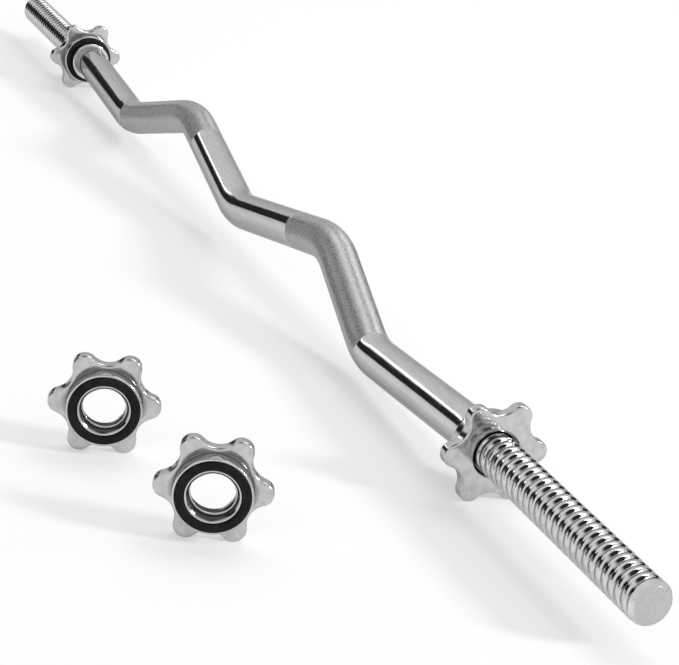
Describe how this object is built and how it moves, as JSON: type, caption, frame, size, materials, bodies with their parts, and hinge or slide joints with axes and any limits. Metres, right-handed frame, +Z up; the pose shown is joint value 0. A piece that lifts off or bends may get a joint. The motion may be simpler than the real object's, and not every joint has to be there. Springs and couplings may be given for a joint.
{
  "type": "ez curl bar",
  "caption": "Cambered curl bar: bent chromed steel bar with knurled grips and threaded ends, and lobed spin-lock collars with rubber rings on it and beside it.",
  "frame": {"origin": "the bar's middle, on the axis that its two threaded ends share", "axes": "+X along the bar to its right end, +Z up while the bar rests on the lobes of its collars, the loose collars on the -Y side"},
  "size_m": [1.194, 0.2485, 0.0611],
  "materials": {
    "bar_chrome": "bright plating, satin where knurled",
    "collar_chrome": "bright plating on a casting",
    "ring_rubber": "matte moulded rubber"
  },
  "bodies": {
    "bar": {"bar": "bar_chrome", "left_stop_ring": "bar_chrome", "right_stop_ring": "bar_chrome"},
    "left_collar_ring": {"left_collar_ring": "ring_rubber"},
    "left_collar_star": {"left_collar_star": "collar_chrome"},
    "right_collar_ring": {"right_collar_ring": "ring_rubber"},
    "right_collar_star": {"right_collar_star": "collar_chrome"},
    "loose_collar_1": {"loose_collar_1_star": "collar_chrome", "loose_collar_1_ring": "ring_rubber"},
    "loose_collar_2": {"loose_collar_2_star": "collar_chrome", "loose_collar_2_ring": "ring_rubber"}
  },
  "joints": [
    {"name": "left_collar_travel", "type": "slide", "parent": "bar", "child": "left_collar_ring", "axis": [-1, 0, 0], "range_m": [0, 0.1914]},
    {"name": "left_collar_spin", "type": "hinge", "parent": "left_collar_ring", "child": "left_collar_star", "pos_m": [-0.41725, 0, 0], "axis": [-1, 0, 0], "range_deg": [0, 10440]},
    {"name": "right_collar_travel", "type": "slide", "parent": "bar", "child": "right_collar_ring", "axis": [1, 0, 0], "range_m": [0, 0.1914]},
    {"name": "right_collar_spin", "type": "hinge", "parent": "right_collar_ring", "child": "right_collar_star", "pos_m": [0.41725, 0, 0], "axis": [1, 0, 0], "range_deg": [0, 10440]},
    {"name": "loose_collar_1_lift", "type": "slide", "parent": "bar", "child": "loose_collar_1", "axis": [0, 0, 1], "range_m": [0, 0.2]},
    {"name": "loose_collar_2_lift", "type": "slide", "parent": "bar", "child": "loose_collar_2", "axis": [0, 0, 1], "range_m": [0, 0.2]}
  ],
  "couplings": [
    {"joint": "left_collar_travel", "follows": "left_collar_spin", "m_per_rad": 0.0010504},
    {"joint": "right_collar_travel", "follows": "right_collar_spin", "m_per_rad": 0.0010504}
  ]
}
